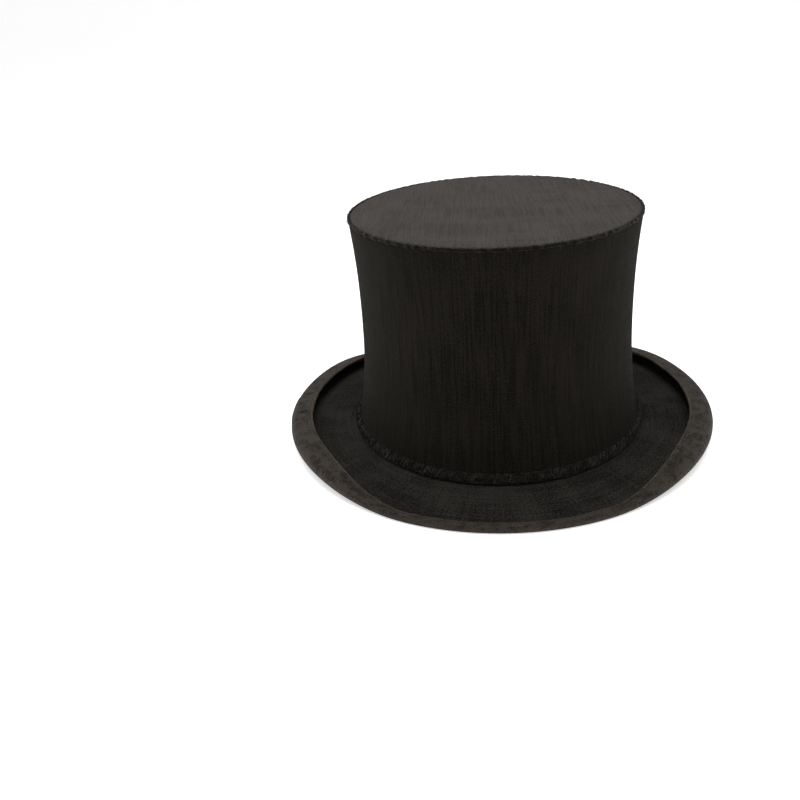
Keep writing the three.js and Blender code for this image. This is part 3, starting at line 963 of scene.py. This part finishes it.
def brim_binding():
    """Grosgrain ribbon from the underside round the roll and the end of the board, and its stitches."""
    turns = angles(BRIM_TURNS)
    t = turns[:, None]
    path, share, edge = ribbon_path()
    pucker = wave(t, [(60, 95, 0.02)], 27) * share[None, :] ** 2
    loose = wave(t, [(9, 22, 0.03)], 29) * smoothstep(share, 0.1, 1)[None, :]
    lapped = (smoothstep(t, *LAP[0]) - smoothstep(t, *LAP[1])) * 0.34
    rise = pucker + loose + lapped
    normal = -ups(path)
    outside = path + normal * (RIBBON_HALF + rise)[..., None]
    inside = path - normal * RIBBON_HALF
    piece = ring("brim_edge_ribbon", np.concatenate([outside, inside[:, ::-1]], 1))
    mark_ribbon(piece, t, share, edge)
    finish_piece(piece, RIBBON, "base", ["brim_binding"])
    strands = Strands()
    arc = arc_lengths(BRIM_TURNS, 30.0) / MM
    pitch, length = 3.4, 2.0
    for s in np.arange(0, arc[-1] - length, pitch):
        pair = [int(np.searchsorted(arc, x)) % BRIM_TURNS for x in (s, s + length)]
        for row, bow in ((edge - 4, 1), (2, 0)):
            ends = (place(turns[i], *(path[i, row] + normal[i, row] * (0.22 + rise[i, row]))) for i in pair)
            strands.stitch(*ends, (0, 0, bow), 0.15 * MM)
    finish_piece(strands.piece("brim_ribbon_stitches"), BLACK_THREAD, "base")


def sweatband():
    """A leather band with a reed at its foot, stitches along the reed and a zigzag up the back."""
    n = 720
    t = angles(n)[:, None]
    foot = sweat_high[0] - HALF_W
    face = ceiling_high[0] - HALF_W
    z = np.linspace(sweat_low[2] + 0.3, sweat_high[2], 44)[None, :]
    offset = np.interp(z, [sweat_low[2], 13.0, sweat_high[2]], [foot, face, face])
    offset = smoothed(offset, 2.5, axis=1)
    share = (z - z[0, 0]) / (z[0, -1] - z[0, 0])
    ripple = wave(t, [(4, 9, 0.07), (18, 40, 0.02)], 51) * smoothstep(share, 0.2, 1.0)
    reed = 0.55 * np.exp(-(((share - 0.02) / 0.03) ** 2))
    lap = 0.35 * smoothstep(-from_seam(t), -0.075, -0.07)
    path = np.stack(np.broadcast_arrays(offset - 0.25 + np.minimum(ripple, 0.2), z), -1)
    up = ups(path)
    piece = ring("sweatband_leather", layer(path, up, 0.0, 0.75 + reed + lap + 0 * ripple))
    finish_piece(piece, LEATHER, "base", ["sweatband"])
    strands = Strands()
    arc = arc_lengths(n, -12.0) / MM
    inner = path + up * (0.78 + reed + lap)[..., None]
    reed_row, pitch, length = 4, 3.0, 1.9
    for s in np.arange(0, arc[-1] - 2.2, pitch):
        i, j = (int(np.searchsorted(arc, x)) % n for x in (s, s + length))
        a, b = (place(angles(n)[k], *inner[k, reed_row]) for k in (i, j))
        out = -frame_at(angles(n)[i], 0.0, 0.0)[1]
        strands.stitch(a, b, out, 0.2 * MM)
    for row in range(5, 43):
        across = -0.03 if row % 2 else 0.03
        i, j = (int((SEAM + turn) / TAU * n) for turn in (across, -across))
        a = place(angles(n)[i], *inner[i, row])
        b = place(angles(n)[j], *inner[j, row + 1])
        strands.stitch(a, b, (0, -1, 0), 0.22 * MM)
    stitches = strands.piece("sweatband_stitches")
    finish_piece(stitches, CREAM_THREAD, "base")
    for part in (piece, stitches):
        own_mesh(part)


def lining_side():
    """Satin gathered into small upright folds between the sweatband and the tip lining."""
    n = 1440
    t = angles(n)[:, None]
    outer = side_high[0] - HALF_W
    z = np.linspace(side_low[2], side_high[2], 60)[None, :]
    share = (z - z[0, 0]) / (z[0, -1] - z[0, 0])
    warp = t + 0.05 * wave(t, [(3, 8, 0.25)], 61) + 0.012 * np.sin(5 * share + 3 * t)
    folds = 0.5 + 0.5 * np.sin(warp * 96 + 0.9 * wave(t, [(5, 21, 0.2)], 63))
    depth = 0.95 * (0.35 + 0.65 * share**1.2) * (0.75 + 0.35 * wave(t, [(6, 14, 0.2)], 65))
    offset = outer - 0.15 - np.abs(depth) * folds**1.4 - 0.25 * np.sin(share * math.pi)
    path = np.stack(np.broadcast_arrays(offset, z), -1)
    piece = ring("lining_side_satin", layer(path, ups(path), 0.0, 0.3))
    finish_piece(piece, SATIN, "base", ["lining_side"])
    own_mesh(piece)


def lining_tip():
    """The satin ceiling, gathered towards its edge, and the cord round it."""
    outer = ceiling_high[0] - HALF_W

    def height(x, y, share):
        a = np.arctan2(y, x)
        rays = np.sin(a * 64 + 2.0 * np.sin(3 * a)) * 0.16 * smoothstep(share, 0.72, 1.0)
        sag = -0.35 * (1 - share**2)
        return ceiling_high[2] + sag + rays * 0.6 + dents(x, y, 0.2, 71) * (1 - share)

    piece = disc("lining_tip_satin", outer - 0.4, height, 0.35, rings=40, turns=720)
    finish_piece(piece, SATIN, "tip", ["lining_tip"])
    n, m = 900, 8
    a = angles(m)[None, :]
    arc = arc_lengths(n)[:-1, None] / MM
    radius = 0.75 * (1 + 0.14 * np.sin(arc * TAU / 2.2 + 2 * a))
    section = np.stack([outer - 1.25 + radius * np.cos(a), ceiling_low[2] - 0.45 + radius * np.sin(a)], -1)
    cord = ring("lining_tip_piping", section, 60)
    finish_piece(cord, SATIN, "tip")


# ---- Carried-over nodes --------------------------------------------------------------------------
def dress_nodes():
    for name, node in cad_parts.items():
        material = BOARD if "board" in name else STEEL
        node.data.materials.clear()
        node.data.materials.append(material)


# ---- Studio --------------------------------------------------------------------------------------
def studio():
    """A paper floor that bends up behind the hat into a backdrop."""
    front, bend_at, bend, top, side = -4.0, 2.6, 1.2, 4.0, 5.0
    steps = 16
    profile = [(front, 0.0), (bend_at, 0.0)]
    for k in range(1, steps + 1):
        a = math.pi / 2 * k / steps
        profile.append((bend_at + bend * math.sin(a), bend - bend * math.cos(a)))
    profile.append((bend_at + bend, top))
    points = [(x, y, z) for y, z in profile for x in (-side, side)]
    faces = [(2 * i, 2 * i + 1, 2 * i + 3, 2 * i + 2) for i in range(len(profile) - 1)]
    floor = make_mesh("studio_floor", points, faces)
    floor.data.materials.append(floor_material())


def area_light(name, position, target, size, power):
    data = bpy.data.lights.new(name, "AREA")
    data.shape = "SQUARE"
    data.size = size
    data.energy = power
    light = bpy.data.objects.new(name, data)
    bpy.context.scene.collection.objects.link(light)
    light.location = position
    light.rotation_euler = (Vector(target) - Vector(position)).to_track_quat("-Z", "Y").to_euler()


def lighting():
    world = bpy.data.worlds.new("studio_air")
    world.use_nodes = True
    background = world.node_tree.nodes["Background"]
    background.inputs[0].default_value = (1, 1, 1, 1)
    background.inputs[1].default_value = 0.15
    bpy.context.scene.world = world
    area_light("top_softbox", (-0.05, -0.3, 1.9), (0, 0, 0.05), 1.7, 42)
    area_light("left_softbox", (-1.25, 0.95, 0.4), (0, 0, 0.08), 0.7, 2.6)
    area_light("right_softbox", (1.2, 1.0, 0.4), (0, 0, 0.08), 0.7, 1.0)
    bpy.context.scene.view_settings.view_transform = "Standard"


def camera():
    """A low three-quarter view from the front, a little above the brim."""
    aside, distance, height = -0.0171, 0.577, 0.259
    pitch, yaw, roll = (math.radians(a) for a in (22.93, -4.67, -3.52))
    forward = Vector((math.sin(yaw) * math.cos(pitch), math.cos(yaw) * math.cos(pitch), -math.sin(pitch)))
    right = Vector((math.cos(yaw), -math.sin(yaw), 0))
    up = right.cross(forward)
    turned_right = right * math.cos(roll) + up * math.sin(roll)
    turned_up = up * math.cos(roll) - right * math.sin(roll)
    data = bpy.data.cameras.new("camera")
    data.sensor_width = 36
    data.lens = 42.4
    data.clip_start = 0.01
    view = bpy.data.objects.new("camera", data)
    bpy.context.scene.collection.objects.link(view)
    rotation = Matrix((turned_right, turned_up, -forward)).transposed()
    view.matrix_world = Matrix.Translation((aside, -distance, height)) @ rotation.to_4x4()
    bpy.context.scene.camera = view


camera()
studio()
lighting()
dress_nodes()
crown_cloth()
crown_seam()
base_braid()
tip_cloth()
tip_piping()
brim_board()
brim_cloths()
brim_binding()
sweatband()
lining_side()
lining_tip()
